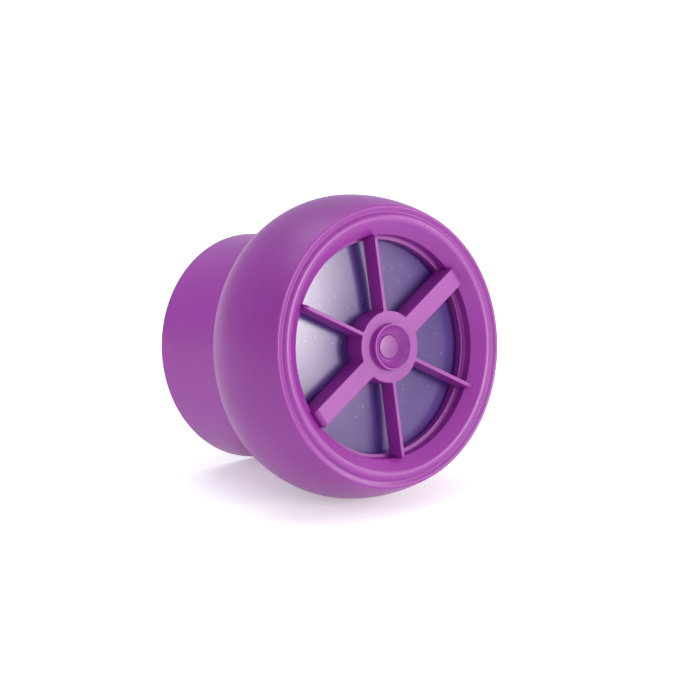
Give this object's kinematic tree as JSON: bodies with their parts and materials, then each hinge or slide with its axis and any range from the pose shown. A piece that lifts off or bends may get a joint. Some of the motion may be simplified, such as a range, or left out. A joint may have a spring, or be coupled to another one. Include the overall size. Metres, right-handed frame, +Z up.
{
  "type": "tracheostomy speaking valve",
  "caption": "One-way speaking valve for a tracheostomy tube: a socket that pushes onto the tube's connector, and a spoked grille with a flexing silicone diaphragm behind it.",
  "frame": {"origin": "centre of the socket's mouth, where the tube's connector goes in", "axes": "+Y along the valve's axis, out of the socket's mouth, so the grille faces -Y; +Z is up, along the upper thin spoke"},
  "size_m": [0.023, 0.0177, 0.023],
  "materials": {
    "body_plastic": "semi-gloss moulded purple plastic",
    "cap_plastic": "semi-gloss moulded purple plastic",
    "pin_plastic": "semi-gloss moulded purple plastic",
    "silicone": "translucent satin silicone"
  },
  "bodies": {
    "housing": {"rear_body": "body_plastic", "front_cap": "cap_plastic", "centre_pin": "pin_plastic"},
    "flap": {"diaphragm": "silicone"}
  },
  "joints": [
    {"name": "diaphragm_flex", "type": "slide", "parent": "housing", "child": "flap", "axis": [0, 1, 0], "range_m": [0, 0.0012], "stiffness_N_per_m": 30, "springref_m": -0.0003, "deforming": ["diaphragm"]}
  ]
}
